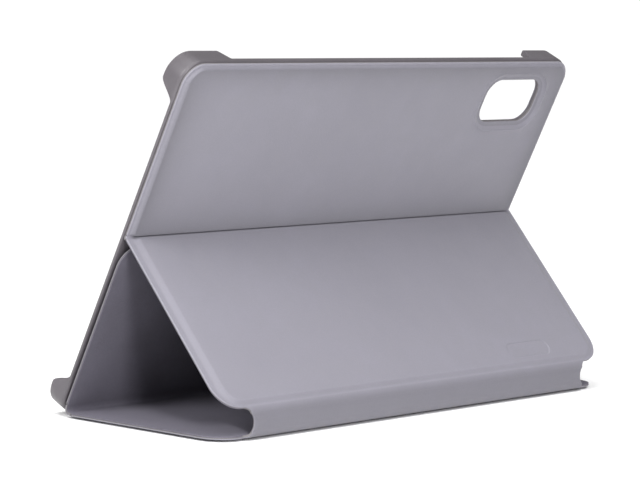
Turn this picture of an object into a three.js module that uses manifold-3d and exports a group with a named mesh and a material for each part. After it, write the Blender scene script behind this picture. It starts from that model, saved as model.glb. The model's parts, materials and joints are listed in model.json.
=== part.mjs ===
// Folding case for an 11-inch tablet, standing open with its cover folded in half.
// Millimetres, +Z up. X runs along the long edge, the tray faces +Y and leans back,
// and the base panel lies on the table with the centre of its underside at the origin.
import * as THREE from 'three';
import { mergeVertices } from 'three/addons/utils/BufferGeometryUtils.js';
import Module from 'manifold-3d';

const wasm = await Module();
wasm.setup();

// ---- Driving dimensions ----
const LENGTH = 258; // every full-width panel, along X
const TRAY_HEIGHT = 172; // bottom edge to top edge of the tray
const TRAY_DEPTH = 10;
const TRAY_LEAN = 64; // degrees between the tray's back and the table
const CREASE_HEIGHT = 89; // bottom edge of the tray to the mid crease
const BASE_DEPTH = 94; // spine crease to front crease
const SPINE_HEIGHT = 10.2; // lower to upper spine crease
const FLAP_HEIGHT = 82; // front crease to the flap's free edge

const PANEL = 2.4; // lining, board and skin together
const FLAP_PANEL = 1.9;
const SPINE_PANEL = 1.8;
const LINING = 0.5;
const THIN_LINING = 0.4; // on the flap and the spine
const FLANGE = 1.3; // lining and skin together, round the board
const GLUE = 0.1; // glue line between layers
const SKIN_CAP = 0.7; // skin over the board
const THIN_CAP = 0.6;
const SKIN_WALL = 0.7; // skin round the edge of the board

const FRONT_AXIS_RISE = 0.3; // front crease axis above the base lining
const MID_AXIS_GAP = 0.3; // mid crease axis behind the tray's back
const FLAP_GAP = 1.0; // flap's skin to the tray's back
const TRAY_CLEARANCE = 0.4; // tray's lowest edge above the table
const CREASE_MARGIN = 1.3; // a panel's edge to its crease axis
const HINGE_REACH = 1.2; // a crease strip's edge to its axis

const FREE_CORNER = 12; // base and leg corners beside the spine
const FLAP_CORNER = 10;
const FOLD_CORNER = 3;
const CREASE_CORNER = 1.5;
const TRAY_CORNER = 13;
const EDGE_ROUND = 0.25;

// Raised pads: their border rises from `foot` to `top`, both measured from the panel's edge or axis.
const PAD_SIDE = { foot: 2.5, top: 6.8 };
const PAD_SPINE = { foot: 2.2, top: 4.4 };
const PAD_MID = { foot: 1.6, top: 1.85 }; // the pads all but meet over the mid crease
const PAD_FRONT = { foot: 3.5, top: 5.5 };
const PAD_CORNER = { foot: 9.5, top: 7 };

const SPINE_HALF = 114; // half-length at the spine's creases
const SPINE_WAIST = 110.8; // half-length between its end notches

const TRAY_BACK = 1.2;
const TRAY_WALL = 1.4;
const TRAY_LINING = 0.4;
const LIP_OVERHANG = 1.4;
const LIP_THICKNESS = 1.2;
// Corner grips: where each is at full height and where it ends, measured from the corner, and
// the height of the wall from there on.
const GRIP_LONG = { full: 28, end: 34, wall: 3 };
const GRIP_SHORT = { full: 12.5, end: 19.5, wall: 1.4 };

const REAR_INSET = 1; // rear skin inside the tray's edge
const REAR_FLANGE = 1.3;
const REAR_SIDE = { foot: 2.2, top: 4.6 };
const WINDOW = { x: 93.1, u: 150.9, width: 38.4, height: 22.2, corner: 8 };
const WINDOW_BEVEL = 4.2; // width of the sloped frame round the window
const WINDOW_LAND = 1.5; // flat skin between that slope and the window

const MAGNET = { width: 40, height: 6, thickness: 0.6, x: 62, fromMid: 20 };
const WAKE_MAGNET = { width: 12, height: 6, thickness: 0.6 };
const POCKET_GAP = 0.1;

const MARK = { x: 78.5, u: 10.5, width: 30, height: 8, depth: 0.25 };

// ---- Materials ----
const finish = (color, roughness) => new THREE.MeshStandardMaterial({ color, roughness, metalness: 0 });
const leather = finish(0x8f8c97, 0.62);
const microfibre = finish(0x55525c, 0.95);
const moulded = finish(0x85828d, 0.5);
const board = finish(0x6b6862, 0.85);
const magnet = new THREE.MeshStandardMaterial({ color: 0xa8a9ab, roughness: 0.35, metalness: 1 });

// ---- Solids from outlines ----
const CORNER_STEPS = 7;

// Rounded rectangle: corners run anticlockwise from (x0, u0), each with its own radius.
function roundedOutline({ x0, x1, u0, u1, radii }, inset = 0) {
  const centres = [
    [x0, u0, 1, 1, Math.PI],
    [x1, u0, -1, 1, 1.5 * Math.PI],
    [x1, u1, -1, -1, 0],
    [x0, u1, 1, -1, 0.5 * Math.PI],
  ];
  const points = [];
  centres.forEach(([x, u, sx, su, start], corner) => {
    const radius = Math.max(radii[corner] - inset, 0.15);
    const cx = x + sx * (inset + radius);
    const cu = u + su * (inset + radius);
    for (let step = 0; step <= CORNER_STEPS; step += 1) {
      const angle = start + (step / CORNER_STEPS) * 0.5 * Math.PI;
      points.push(new THREE.Vector2(cx + radius * Math.cos(angle), cu + radius * Math.sin(angle)));
    }
  });
  return points;
}

// Closed solid through a stack of outlines with equal point counts: rings of [points, w].
function stacked(rings) {
  const count = rings[0][0].length;
  const positions = [];
  const index = [];
  for (const [points, w] of rings) {
    for (const p of points) positions.push(p.x, p.y, w);
  }
  for (let level = 0; level + 1 < rings.length; level += 1) {
    for (let i = 0; i < count; i += 1) {
      const a = level * count + i;
      const b = level * count + ((i + 1) % count);
      index.push(a, b, b + count, a, b + count, a + count);
    }
  }
  const last = (rings.length - 1) * count;
  for (const [a, b, c] of THREE.ShapeUtils.triangulateShape(rings[0][0], [])) index.push(a, c, b);
  for (const [a, b, c] of THREE.ShapeUtils.triangulateShape(rings.at(-1)[0], [])) {
    index.push(last + a, last + b, last + c);
  }
  const geometry = new THREE.BufferGeometry();
  geometry.setAttribute('position', new THREE.Float32BufferAttribute(positions, 3));
  geometry.setIndex(index);
  return geometry;
}

// Flat plate between two heights, with its upper edge eased by `ease`.
function plate(outline, w0, w1, ease = 0, inset = 0) {
  const rings = [[roundedOutline(outline, inset), w0]];
  if (ease > 0) {
    rings.push([roundedOutline(outline, inset), w1 - ease]);
    rings.push([roundedOutline(outline, inset + 0.3 * ease), w1 - 0.3 * ease]);
    rings.push([roundedOutline(outline, inset + ease), w1]);
  } else {
    rings.push([roundedOutline(outline, inset), w1]);
  }
  return stacked(rings);
}

// Pad with a soft S-shaped border, rising from w0 at its foot outline to w1 at its top outline.
function pad({ foot, top }, base, w0, w1) {
  const low = roundedOutline(foot);
  const high = roundedOutline(top);
  const rings = [[low, base]];
  const steps = 5;
  for (let i = 0; i <= steps; i += 1) {
    const share = i / steps;
    const rise = share * share * (3 - 2 * share);
    rings.push([low.map((point, k) => point.clone().lerp(high[k], share)), w0 + rise * (w1 - w0)]);
  }
  return stacked(rings);
}

function toSolid(source) {
  const geometry = source.clone();
  geometry.deleteAttribute('normal');
  geometry.deleteAttribute('uv');
  const merged = mergeVertices(geometry, 1e-5);
  return new wasm.Manifold(new wasm.Mesh({
    numProp: 3,
    vertProperties: new Float32Array(merged.attributes.position.array),
    triVerts: new Uint32Array(merged.index.array),
  }));
}

function toGeometry(solid) {
  const mesh = solid.getMesh();
  const geometry = new THREE.BufferGeometry();
  geometry.setAttribute('position', new THREE.BufferAttribute(new Float32Array(mesh.vertProperties), 3));
  geometry.setIndex(new THREE.BufferAttribute(new Uint32Array(mesh.triVerts), 1));
  return geometry;
}

const cut = (body, ...tools) => tools.reduce((solid, tool) => solid.subtract(tool), body);

function node(name, geometry, material) {
  geometry.computeVertexNormals();
  const mesh = new THREE.Mesh(geometry, material);
  mesh.name = name;
  return mesh;
}

// ---- Hinge axes, as points of the Y-Z plane ----
const lean = THREE.MathUtils.degToRad(TRAY_LEAN);
const up = new THREE.Vector2(-Math.cos(lean), Math.sin(lean)); // along the tray's back
const out = new THREE.Vector2(Math.sin(lean), Math.cos(lean)); // out of the tray's mouth
const lowerSpine = new THREE.Vector2(-BASE_DEPTH / 2, PANEL);
const upperSpine = new THREE.Vector2(-BASE_DEPTH / 2, PANEL + SPINE_HEIGHT);
const frontCrease = new THREE.Vector2(BASE_DEPTH / 2, PANEL + FRONT_AXIS_RISE);
const trayFoot = frontCrease.clone().addScaledVector(out, FRONT_AXIS_RISE + FLAP_PANEL + FLAP_GAP);
trayFoot.addScaledVector(up, (TRAY_CLEARANCE - trayFoot.y) / up.y);
const midCrease = trayFoot.clone().addScaledVector(up, CREASE_HEIGHT).addScaledVector(out, -MID_AXIS_GAP);
// The leg spans the two creases that it joins, so the folded loop closes.
const legSpan = midCrease.clone().sub(upperSpine);
const LEG_HEIGHT = legSpan.length();
const legAngle = legSpan.angle();

// A panel's frame: X along the crease, Y along the panel, Z out of its leather side.
function panelFrame(origin, angle) {
  const frame = new THREE.Group();
  frame.position.set(0, origin.x, origin.y);
  frame.rotation.x = angle;
  return frame;
}

const baseFrame = panelFrame(lowerSpine, Math.PI);
const spineFrame = panelFrame(lowerSpine, Math.PI / 2);
const legFrame = panelFrame(upperSpine, legAngle);
const trayFrame = panelFrame(trayFoot, Math.PI - lean);
const flapFrame = panelFrame(frontCrease, -lean);

// ---- Laminated panels ----
const fullWidth = (u0, u1, radii, side = 0) => (
  { x0: -LENGTH / 2 + side, x1: LENGTH / 2 - side, u0, u1, radii }
);

// Foot and top outlines of a pad between u0 and u1, whose corners are square at a mid crease.
function padOutline(u0, u1, start, finish, side = PAD_SIDE) {
  const ring = (level) => {
    const radius = (border) => (border === PAD_MID ? CREASE_CORNER : PAD_CORNER[level]);
    const radii = [radius(start), radius(start), radius(finish), radius(finish)];
    return fullWidth(u0 + start[level], u1 - finish[level], radii, side[level]);
  };
  return { foot: ring('foot'), top: ring('top') };
}

// Bar with rounded ends, for a magnet or the pocket that holds it.
function bar(size, x, u, w0, w1, gap = 0) {
  const radius = 0.3 * size.height + gap;
  const outline = {
    x0: x - size.width / 2 - gap,
    x1: x + size.width / 2 + gap,
    u0: u - size.height / 2 - gap,
    u1: u + size.height / 2 + gap,
    radii: [radius, radius, radius, radius],
  };
  return plate(outline, w0, w1);
}

// Lining, board and skin of one panel, from its inner face at w = `floor` outwards.
function laminate(name, edge, padEdge, layers, bars = []) {
  const { floor, lining, flange, thickness, cap } = layers;
  const boardFoot = floor + lining + GLUE;
  const boardTop = floor + thickness - cap - GLUE;
  const skin = cut(
    toSolid(plate(edge, boardFoot, floor + flange, EDGE_ROUND)).add(
      toSolid(pad(padEdge, boardFoot, floor + flange, floor + thickness)),
    ),
    toSolid(plate(padEdge.top, boardFoot - 1, boardTop + GLUE, 0, SKIN_WALL - GLUE)),
  );
  const pockets = bars.map(({ size, x, u }) => (
    toSolid(bar(size, x, u, boardFoot - 1, boardTop + 1, POCKET_GAP))
  ));
  const core = cut(toSolid(plate(padEdge.top, boardFoot, boardTop, 0, SKIN_WALL)), ...pockets);
  const meshes = {
    skin,
    board: node(`${name}_board`, toGeometry(core), board),
    lining: node(`${name}_lining`, plate(edge, floor, floor + lining, 0, EDGE_ROUND), microfibre),
    magnets: bars.map(({ label, size, x, u }) => {
      const middle = (boardFoot + boardTop) / 2;
      const half = size.thickness / 2;
      return node(label, bar(size, x, u, middle - half, middle + half), magnet);
    }),
  };
  return meshes;
}

const thick = { floor: 0, lining: LINING, flange: FLANGE, thickness: PANEL, cap: SKIN_CAP };
const thin = { lining: THIN_LINING, flange: FLANGE - 0.2, cap: THIN_CAP };

function addPanel(frame, name, panel) {
  frame.add(node(`${name}_skin`, toGeometry(panel.skin), leather), panel.board, panel.lining, ...panel.magnets);
}

// Base: from the front crease (u = -BASE_DEPTH) to the lower spine crease (u = 0).
addPanel(baseFrame, 'base', laminate(
  'base',
  fullWidth(-BASE_DEPTH + CREASE_MARGIN, -CREASE_MARGIN, [FOLD_CORNER, FOLD_CORNER, FREE_CORNER, FREE_CORNER]),
  padOutline(-BASE_DEPTH, 0, PAD_FRONT, PAD_SPINE),
  thick,
));

// Flap: from its free edge (u = -FLAP_HEIGHT) to the front crease (u = 0).
const flapMagnetU = -(midCrease.clone().sub(frontCrease).length() - MAGNET.fromMid);
addPanel(flapFrame, 'flap', laminate(
  'flap',
  fullWidth(-FLAP_HEIGHT, -CREASE_MARGIN, [FLAP_CORNER, FLAP_CORNER, FOLD_CORNER, FOLD_CORNER]),
  padOutline(-FLAP_HEIGHT, 0, PAD_SPINE, PAD_FRONT),
  { ...thin, floor: FRONT_AXIS_RISE, thickness: FLAP_PANEL },
  [
    { label: 'flap_magnet_left', size: MAGNET, x: -MAGNET.x, u: flapMagnetU },
    { label: 'flap_magnet_right', size: MAGNET, x: MAGNET.x, u: flapMagnetU },
    { label: 'wake_magnet', size: WAKE_MAGNET, x: 0, u: -FLAP_HEIGHT + 12 },
  ],
));

// Leg: from the upper spine crease (u = 0) to the mid crease, with a blank pressed mark.
const legPanel = laminate(
  'leg',
  fullWidth(CREASE_MARGIN, LEG_HEIGHT - CREASE_MARGIN, [FREE_CORNER, FREE_CORNER, CREASE_CORNER, CREASE_CORNER]),
  padOutline(0, LEG_HEIGHT, PAD_SPINE, PAD_MID),
  thick,
  [
    { label: 'leg_magnet_left', size: MAGNET, x: -MAGNET.x, u: LEG_HEIGHT - MAGNET.fromMid },
    { label: 'leg_magnet_right', size: MAGNET, x: MAGNET.x, u: LEG_HEIGHT - MAGNET.fromMid },
  ],
);
const markRadius = MARK.height / 2;
const markOutline = {
  x0: MARK.x - MARK.width / 2,
  x1: MARK.x + MARK.width / 2,
  u0: MARK.u - markRadius,
  u1: MARK.u + markRadius,
  radii: [markRadius, markRadius, markRadius, markRadius],
};
legPanel.skin = cut(legPanel.skin, toSolid(plate(markOutline, PANEL - MARK.depth, PANEL + 1)));
addPanel(legFrame, 'leg', legPanel);

// Spine: a narrow strip whose ends are notched between its two creases.
function spineOutline(inset) {
  const shape = new THREE.Shape();
  const low = CREASE_MARGIN + inset;
  const high = SPINE_HEIGHT - CREASE_MARGIN - inset;
  const waist = SPINE_WAIST - inset;
  const end = SPINE_HALF - 1.3 * inset;
  const turn = 0.36 * (high - low);
  shape.moveTo(-end, low);
  shape.lineTo(end, low);
  shape.quadraticCurveTo(waist, low, waist, low + turn);
  shape.lineTo(waist, high - turn);
  shape.quadraticCurveTo(waist, high, end, high);
  shape.lineTo(-end, high);
  shape.quadraticCurveTo(-waist, high, -waist, high - turn);
  shape.lineTo(-waist, low + turn);
  shape.quadraticCurveTo(-waist, low, -end, low);
  return shape.getPoints(6).slice(0, -1);
}

const spineBoard = {
  x0: -SPINE_WAIST + 2,
  x1: SPINE_WAIST - 2,
  u0: CREASE_MARGIN + 1,
  u1: SPINE_HEIGHT - CREASE_MARGIN - 1,
  radii: [1, 1, 1, 1],
};
const spineFoot = THIN_LINING + GLUE;
const spineTop = SPINE_PANEL - THIN_CAP;
spineFrame.add(
  node('spine_skin', toGeometry(cut(
    toSolid(stacked([
      [spineOutline(0), spineFoot],
      [spineOutline(0), SPINE_PANEL - 2 * EDGE_ROUND],
      [spineOutline(2 * EDGE_ROUND), SPINE_PANEL],
    ])),
    toSolid(plate(spineBoard, spineFoot - 1, spineTop, 0, -GLUE)),
  )), leather),
  node('spine_board', plate(spineBoard, spineFoot, spineTop - GLUE), board),
  node('spine_lining', stacked([[spineOutline(EDGE_ROUND), 0], [spineOutline(EDGE_ROUND), THIN_LINING]]), microfibre),
);

// ---- Tray with four corner grips ----
// Local Z points out of the tray's back, so its depth runs towards negative w.
const trayOutline = fullWidth(0, TRAY_HEIGHT, Array(4).fill(TRAY_CORNER));
const trayRing = (inset, depth) => [roundedOutline(trayOutline, inset), -depth];

// Gap between two grips, as an outline of position along the edge and depth in the tray.
function gripGap(half, { full, end, wall }) {
  const crest = half - full;
  const foot = half - end;
  const middle = (crest + foot) / 2;
  const over = TRAY_DEPTH + 5;
  const shape = new THREE.Shape();
  shape.moveTo(-crest - 6, over);
  shape.lineTo(-crest, TRAY_DEPTH);
  shape.bezierCurveTo(-middle, TRAY_DEPTH, -middle, wall, -foot, wall);
  shape.lineTo(foot, wall);
  shape.bezierCurveTo(middle, wall, middle, TRAY_DEPTH, crest, TRAY_DEPTH);
  shape.lineTo(crest + 6, over);
  return shape.getPoints(8);
}

// Prism of an outline (position, depth) pushed through one wall of the tray.
function wallCutter(points, place, from, to) {
  const geometry = stacked([[points, from], [points, to]]);
  const position = geometry.attributes.position;
  for (let i = 0; i < position.count; i += 1) {
    const [along, depth, across] = [position.getX(i), position.getY(i), position.getZ(i)];
    position.setXYZ(i, ...place(along, depth, across));
  }
  return toSolid(geometry);
}

const longGap = gripGap(LENGTH / 2, GRIP_LONG);
const shortGap = gripGap(TRAY_HEIGHT / 2, GRIP_SHORT);
const alongX = (along, depth, across) => [along, across, -depth];
const alongU = (along, depth, across) => [across, TRAY_HEIGHT / 2 - along, -depth];
const WALL_BITE = 8;

const windowOutline = {
  x0: WINDOW.x - WINDOW.width / 2,
  x1: WINDOW.x + WINDOW.width / 2,
  u0: WINDOW.u - WINDOW.height / 2,
  u1: WINDOW.u + WINDOW.height / 2,
  radii: Array(4).fill(WINDOW.corner),
};

const magnetU = CREASE_HEIGHT - MAGNET.fromMid;
const magnetDepth = TRAY_BACK - MAGNET.thickness - POCKET_GAP;
const trayPockets = [-1, 1].map((side) => (
  toSolid(bar(MAGNET, side * MAGNET.x, magnetU, -TRAY_BACK - 1, -magnetDepth, POCKET_GAP))
));

const tray = cut(
  toSolid(stacked([
    trayRing(0.6, TRAY_DEPTH),
    trayRing(0.15, TRAY_DEPTH - 0.2),
    trayRing(0, TRAY_DEPTH - 0.7),
    trayRing(0, 1.6),
    trayRing(0.4, 0.6),
    trayRing(1.4, 0),
  ])),
  toSolid(stacked([trayRing(TRAY_WALL, TRAY_DEPTH - LIP_THICKNESS), trayRing(TRAY_WALL, TRAY_BACK)])),
  toSolid(stacked([trayRing(TRAY_WALL + LIP_OVERHANG, TRAY_DEPTH + 1), trayRing(TRAY_WALL + LIP_OVERHANG, 4)])),
  wallCutter(longGap, alongX, -WALL_BITE, WALL_BITE),
  wallCutter(longGap, alongX, TRAY_HEIGHT - WALL_BITE, TRAY_HEIGHT + WALL_BITE),
  wallCutter(shortGap, alongU, -LENGTH / 2 - WALL_BITE, -LENGTH / 2 + WALL_BITE),
  wallCutter(shortGap, alongU, LENGTH / 2 - WALL_BITE, LENGTH / 2 + WALL_BITE),
  toSolid(plate(windowOutline, -TRAY_BACK - 1, 1)),
  ...trayPockets,
);
const liningRing = (w) => [roundedOutline(trayOutline, TRAY_WALL + 2 * GLUE), w];
const trayLining = cut(
  toSolid(stacked([liningRing(-TRAY_BACK - GLUE - TRAY_LINING), liningRing(-TRAY_BACK - GLUE)])),
  toSolid(plate(windowOutline, -TRAY_BACK - 1, 1, 0, -EDGE_ROUND)),
);
trayFrame.add(
  node('back_shell', toGeometry(tray), moulded),
  node('tray_lining', toGeometry(trayLining), microfibre),
);
['left', 'right'].forEach((side, i) => {
  const x = (2 * i - 1) * MAGNET.x;
  const w1 = -magnetDepth - POCKET_GAP;
  trayFrame.add(node(`shell_magnet_${side}`, bar(MAGNET, x, magnetU, w1 - MAGNET.thickness, w1), magnet));
});

// Padded leather on the tray's upper back, with the camera window through it.
const rearTop = PANEL + MID_AXIS_GAP;
const rearEdge = fullWidth(
  CREASE_HEIGHT + CREASE_MARGIN,
  TRAY_HEIGHT - REAR_INSET,
  [CREASE_CORNER, CREASE_CORNER, TRAY_CORNER - REAR_INSET, TRAY_CORNER - REAR_INSET],
  REAR_INSET,
);
const rearPad = padOutline(CREASE_HEIGHT, TRAY_HEIGHT, PAD_MID, REAR_SIDE, REAR_SIDE);
const windowPlate = (spread, w0, w1) => toSolid(plate(windowOutline, w0, w1, 0, -spread));
const rearBoardTop = rearTop - SKIN_CAP - GLUE;
const boardHole = WINDOW_BEVEL + SKIN_WALL;
const rearCavity = cut(
  toSolid(plate(rearPad.top, -1, rearBoardTop + GLUE, 0, SKIN_WALL - GLUE)),
  windowPlate(boardHole - GLUE, -2, rearTop + 1),
);
const windowFrame = stacked([
  [roundedOutline(windowOutline, -WINDOW_LAND), REAR_FLANGE],
  [roundedOutline(windowOutline, -WINDOW_BEVEL), rearTop],
  [roundedOutline(windowOutline, -WINDOW_BEVEL), rearTop + 1],
]);
const rearSkin = cut(
  toSolid(plate(rearEdge, GLUE, REAR_FLANGE, EDGE_ROUND)).add(
    toSolid(pad(rearPad, GLUE, REAR_FLANGE, rearTop)),
  ),
  rearCavity,
  toSolid(windowFrame),
  windowPlate(0, -1, rearTop),
);
const rearBoard = cut(
  toSolid(plate(rearPad.top, GLUE, rearBoardTop, 0, SKIN_WALL)),
  windowPlate(boardHole, -1, rearTop),
);
trayFrame.add(
  node('rear_skin', toGeometry(rearSkin), leather),
  node('rear_board', toGeometry(rearBoard), board),
);

// ---- Crease strips ----
// Skin and lining bonded together, bent round an axis from one panel's edge to the next.
function creaseStrip(name, axis, fromAngle, toAngle, inner, outer, half) {
  const direction = (angle) => new THREE.Vector2(Math.cos(angle), Math.sin(angle));
  const normal = (angle) => new THREE.Vector2(-Math.sin(angle), Math.cos(angle));
  const start = (w) => axis.clone().addScaledVector(direction(fromAngle), -HINGE_REACH)
    .addScaledVector(normal(fromAngle), w);
  const end = (w) => axis.clone().addScaledVector(direction(toAngle), HINGE_REACH)
    .addScaledVector(normal(toAngle), w);
  const bend = (w) => {
    if (toAngle > fromAngle) {
      const reach = w / Math.cos((toAngle - fromAngle) / 2);
      return [axis.clone().addScaledVector(normal((fromAngle + toAngle) / 2), reach)];
    }
    const steps = 10;
    return Array.from({ length: steps + 1 }, (_, i) => (
      axis.clone().addScaledVector(normal(fromAngle + (i / steps) * (toAngle - fromAngle)), w)
    ));
  };
  const loop = [start(outer), ...bend(outer), end(outer), end(inner), ...bend(inner).reverse(), start(inner)];
  if (THREE.ShapeUtils.isClockWise(loop)) loop.reverse();
  const geometry = stacked([[loop, -half], [loop, half]]);
  const position = geometry.attributes.position;
  for (let i = 0; i < position.count; i += 1) {
    position.setXYZ(i, position.getZ(i), position.getX(i), position.getY(i));
  }
  return node(name, geometry, leather);
}

const STRIP_OUTER = FLANGE - GLUE;
const foldHalf = LENGTH / 2 - 1;
const creases = new THREE.Group();
creases.add(
  creaseStrip('lower_spine_crease', lowerSpine, Math.PI, Math.PI / 2, GLUE, STRIP_OUTER, SPINE_HALF),
  creaseStrip('upper_spine_crease', upperSpine, Math.PI / 2, legAngle, GLUE, STRIP_OUTER, SPINE_HALF),
  creaseStrip('mid_crease', midCrease, legAngle, Math.PI - lean, GLUE, 1, LENGTH / 2 - REAR_INSET),
  creaseStrip(
    'front_crease', frontCrease, 2 * Math.PI - lean, Math.PI,
    FRONT_AXIS_RISE + GLUE, FRONT_AXIS_RISE + FLANGE - 0.2 - GLUE, foldHalf,
  ),
);

const group = new THREE.Group();
group.add(baseFrame, spineFrame, legFrame, trayFrame, flapFrame, creases);

export default group;
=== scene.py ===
# Looks of a folding tablet case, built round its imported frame.
# Shapes are worked out in millimetres in each panel's own frame and placed in metres.
import json
import math

import bmesh
import bpy
from mathutils import Matrix, Vector
from mathutils.geometry import delaunay_2d_cdt


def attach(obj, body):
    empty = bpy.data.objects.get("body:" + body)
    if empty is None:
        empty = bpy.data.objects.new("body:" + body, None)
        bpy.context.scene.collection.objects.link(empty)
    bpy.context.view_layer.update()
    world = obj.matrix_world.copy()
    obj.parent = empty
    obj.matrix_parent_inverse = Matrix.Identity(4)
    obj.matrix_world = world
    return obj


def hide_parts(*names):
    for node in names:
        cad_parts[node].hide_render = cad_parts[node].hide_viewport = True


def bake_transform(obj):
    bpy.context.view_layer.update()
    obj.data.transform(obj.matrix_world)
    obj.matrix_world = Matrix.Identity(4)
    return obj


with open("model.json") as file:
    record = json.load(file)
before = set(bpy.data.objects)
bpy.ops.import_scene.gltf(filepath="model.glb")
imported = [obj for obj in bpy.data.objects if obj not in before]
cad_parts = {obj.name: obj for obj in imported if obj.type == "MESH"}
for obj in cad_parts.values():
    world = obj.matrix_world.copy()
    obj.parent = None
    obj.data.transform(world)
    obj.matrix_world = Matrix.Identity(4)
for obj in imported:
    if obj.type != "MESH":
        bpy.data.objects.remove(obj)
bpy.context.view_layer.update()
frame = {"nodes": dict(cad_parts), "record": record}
MM = 0.001

# ---- Sizes of the case, in millimetres ----
LENGTH = 258
TRAY_HEIGHT = 172
TRAY_DEPTH = 10
CREASE_HEIGHT = 89
BASE_DEPTH = 94
SPINE_HEIGHT = 10.2
FLAP_HEIGHT = 82
CREASE_MARGIN = 1.3  # a panel's edge to its crease axis
FRONT_MARGIN = 3.0  # the same along the front, where the leather bends round softly

PANEL = 2.4
PAD_CROWN = 0.35  # the padded face is this much fuller in the middle
CROWN_REACH = 6
REAR_DISH = 0.5  # the upper back sinks this much inside its raised edge, and shade is painted along that edge
DISH_REACH = 7
GLUE = 0.1
SKIN_WALL = 0.7
EDGE_ROUND = 0.45
LINING_INSET = 0.3
REAR_LIFT = 0.3  # the upper back is this much thicker than the other panels
FLAP_RISE = 0.3  # flap lining above the front crease axis

# Skin heights over the plane of the crease axes: underside, flange, padded face, room for the board.
THICK = {"under": 0.55, "flange": 1.3, "top": PANEL, "ceiling": PANEL - SKIN_WALL}
FLAP_W = {"under": 0.75, "flange": 1.4, "top": 2.2, "ceiling": 1.6}
SPINE_W = {"lining": 0.4, "under": 0.45, "edge": 1.2, "top": 1.5, "ceiling": 1.2}
LINING_TOP = 0.5
LINING_BORDER = 1.2
LINING_SOFT = 0.12
FLAP_LINING = 0.4
FLANGE_LAND = 0.35  # flat skin between a pad's border and the rounded edge
SUPPORT = 0.25  # a ring this close inside a border keeps its shading crisp
BOARD_ROOM = SKIN_WALL - GLUE
CREST_AT, CREST_WIDTH, CREST_WEAR = 0.9, 0.12, 0.7  # worn line along the top of a border

FREE_CORNER = 12
FLAP_CORNER = 10
FOLD_CORNER = 1.2
CREASE_CORNER = 0.6
TRAY_CORNER = 10.5

# Where a pad's border starts and where its flat face begins, from the panel's edge or axis.
PAD_SIDE = {"foot": 2.3, "top": 6.8}
PAD_SPINE = {"foot": 1.9, "top": 4.4}
PAD_MID = {"foot": 1.5, "top": 1.95}
PAD_FRONT = {"foot": 3.6, "top": 6.4}
PAD_CORNER = {"foot": 9.7, "top": 6.5}
REAR_SIDE = {"foot": 1.5, "top": 3.7}
REAR_TOP = {"foot": 1.5, "top": 2.8}
REAR_INSET = 0.6

SPINE_FLARE = 115.6  # half-length of the spine leather where it meets a panel
SPINE_END = 112.4  # half-length at the spine's own edges
SPINE_WAIST = 110.9
SPINE_SLOPE = 2.4  # width of the soft slope round the spine's face
# painted shade on the spine and the bends beside it, standing in for its darkness near the floor
SPINE_PAINTED_SHADE = 0.85
WAIST_CURVE, FLARE_CURVE = 2.2, 2.4

TRAY_BACK = 1.2
TRAY_WALL = 1.4
BACK_LAND, BACK_EDGE = 5.0, 1.9  # flat rings of the back, this far inside its outline
BACK_ROUND, BACK_ROUND_WIDTH = 1.8, 1.5
RIM_ROUND = 0.55
FLOOR_FILLET, FLOOR_LAND = 0.5, 2.2
HOLE_LAND, HOLE_CHAMFER, HOLE_BACK = 0.9, 0.35, 0.3  # the tray's edge round the camera window
TINY = 0.02  # keeps two rings from lying on each other
LIP_OVERHANG = 1.4
LIP_THICKNESS = 1.2
GRIP_LONG = {"full": 25.8, "end": 28.6, "wall": 3}
GRIP_SHORT = {"full": 11.8, "end": 19.8, "wall": 1.4}
TRAY_LINING = 0.4

WINDOW = {"x": 93.1, "u": 150.9, "width": 38.4, "height": 22.2, "corner": 8}
WINDOW_BEVEL = 4.2
WINDOW_LAND = 1.2
WINDOW_RIDGE = 0.3
WINDOW_ROUND = 0.4
# painted shade on the camera window's land and the rounding into it
WINDOW_PAINTED_SHADE = 0.6
MARK = {"x": 78.5, "u": 10.5, "width": 30, "height": 8}
MARK_STEPS = ((0.35, 0), (0.12, 0.03), (0, 0.1), (-0.08, 0.17), (-0.2, 0.24), (-0.5, 0.25))
MAGNET = {"width": 40, "height": 6, "x": 62, "from_mid": 20}
POCKET_CORNER = 1.9
POCKET_DEPTH = 0.5  # the magnets' pockets stop this far under the back's outer face
POCKET_STEPS = 6

# ---- How finely the surfaces are divided, and the angle from which an edge is drawn sharp ----
SHARP, TRAY_SHARP = math.radians(42), math.radians(50)
FACE_STEP = 2.5  # millimetres between the points of a padded face
ARC_STEPS = 12
SIDE_STEPS = 24
PILL_ARC_STEPS, PILL_SIDE_STEPS = 10, 6
BORDER_STEPS = 12
ROUND_STEPS = 5
WINDOW_STEPS = 10
WINDOW_ARC_STEPS, WINDOW_SIDE_STEPS = 14, 10
SPINE_SIDE_STEPS, SPINE_END_STEPS = 48, 14
CORNER_STEPS = 16
GRIP_STEPS = 22
WALL_STEPS = 13
PROFILE_STEPS = 6


# ---- Panel frames, from the record's fold axes ----
class Place:
    """A panel's own frame: x along the crease, u along the panel, w out of its leather side."""

    def __init__(self, origin, angle):
        self.origin = origin
        self.along = Vector((0, math.cos(angle), math.sin(angle)))
        self.outward = Vector((0, -math.sin(angle), math.cos(angle)))

    def at(self, x, u, w):
        return self.origin + (Vector((x, 0, 0)) + self.along * u + self.outward * w) * MM


axes = {joint["name"]: Vector(joint["pos_m"]) for joint in frame["record"]["behaviour"]["joints"]}
lower_axis = axes["lower_spine_fold"]
upper_axis = axes["upper_spine_fold"]
mid_axis = axes["mid_fold"]
front_axis = axes["front_fold"]
seat = next(m for m in frame["record"]["mounts"] if m["name"] == "tablet_seat")
mouth = Vector(seat["axis"])
lean = math.atan2(mouth.y, mouth.z)
leg_run = mid_axis - upper_axis
LEG_HEIGHT = leg_run.length / MM
tray_up = Vector((0, -math.cos(lean), math.sin(lean)))
tray_back_depth = (Vector(seat["pos_m"]) - mid_axis).dot(mouth) / MM
seat_depth = TRAY_BACK + GLUE + TRAY_LINING
tray_foot = mid_axis - tray_up * (CREASE_HEIGHT * MM) + mouth * ((tray_back_depth - seat_depth) * MM)

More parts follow.
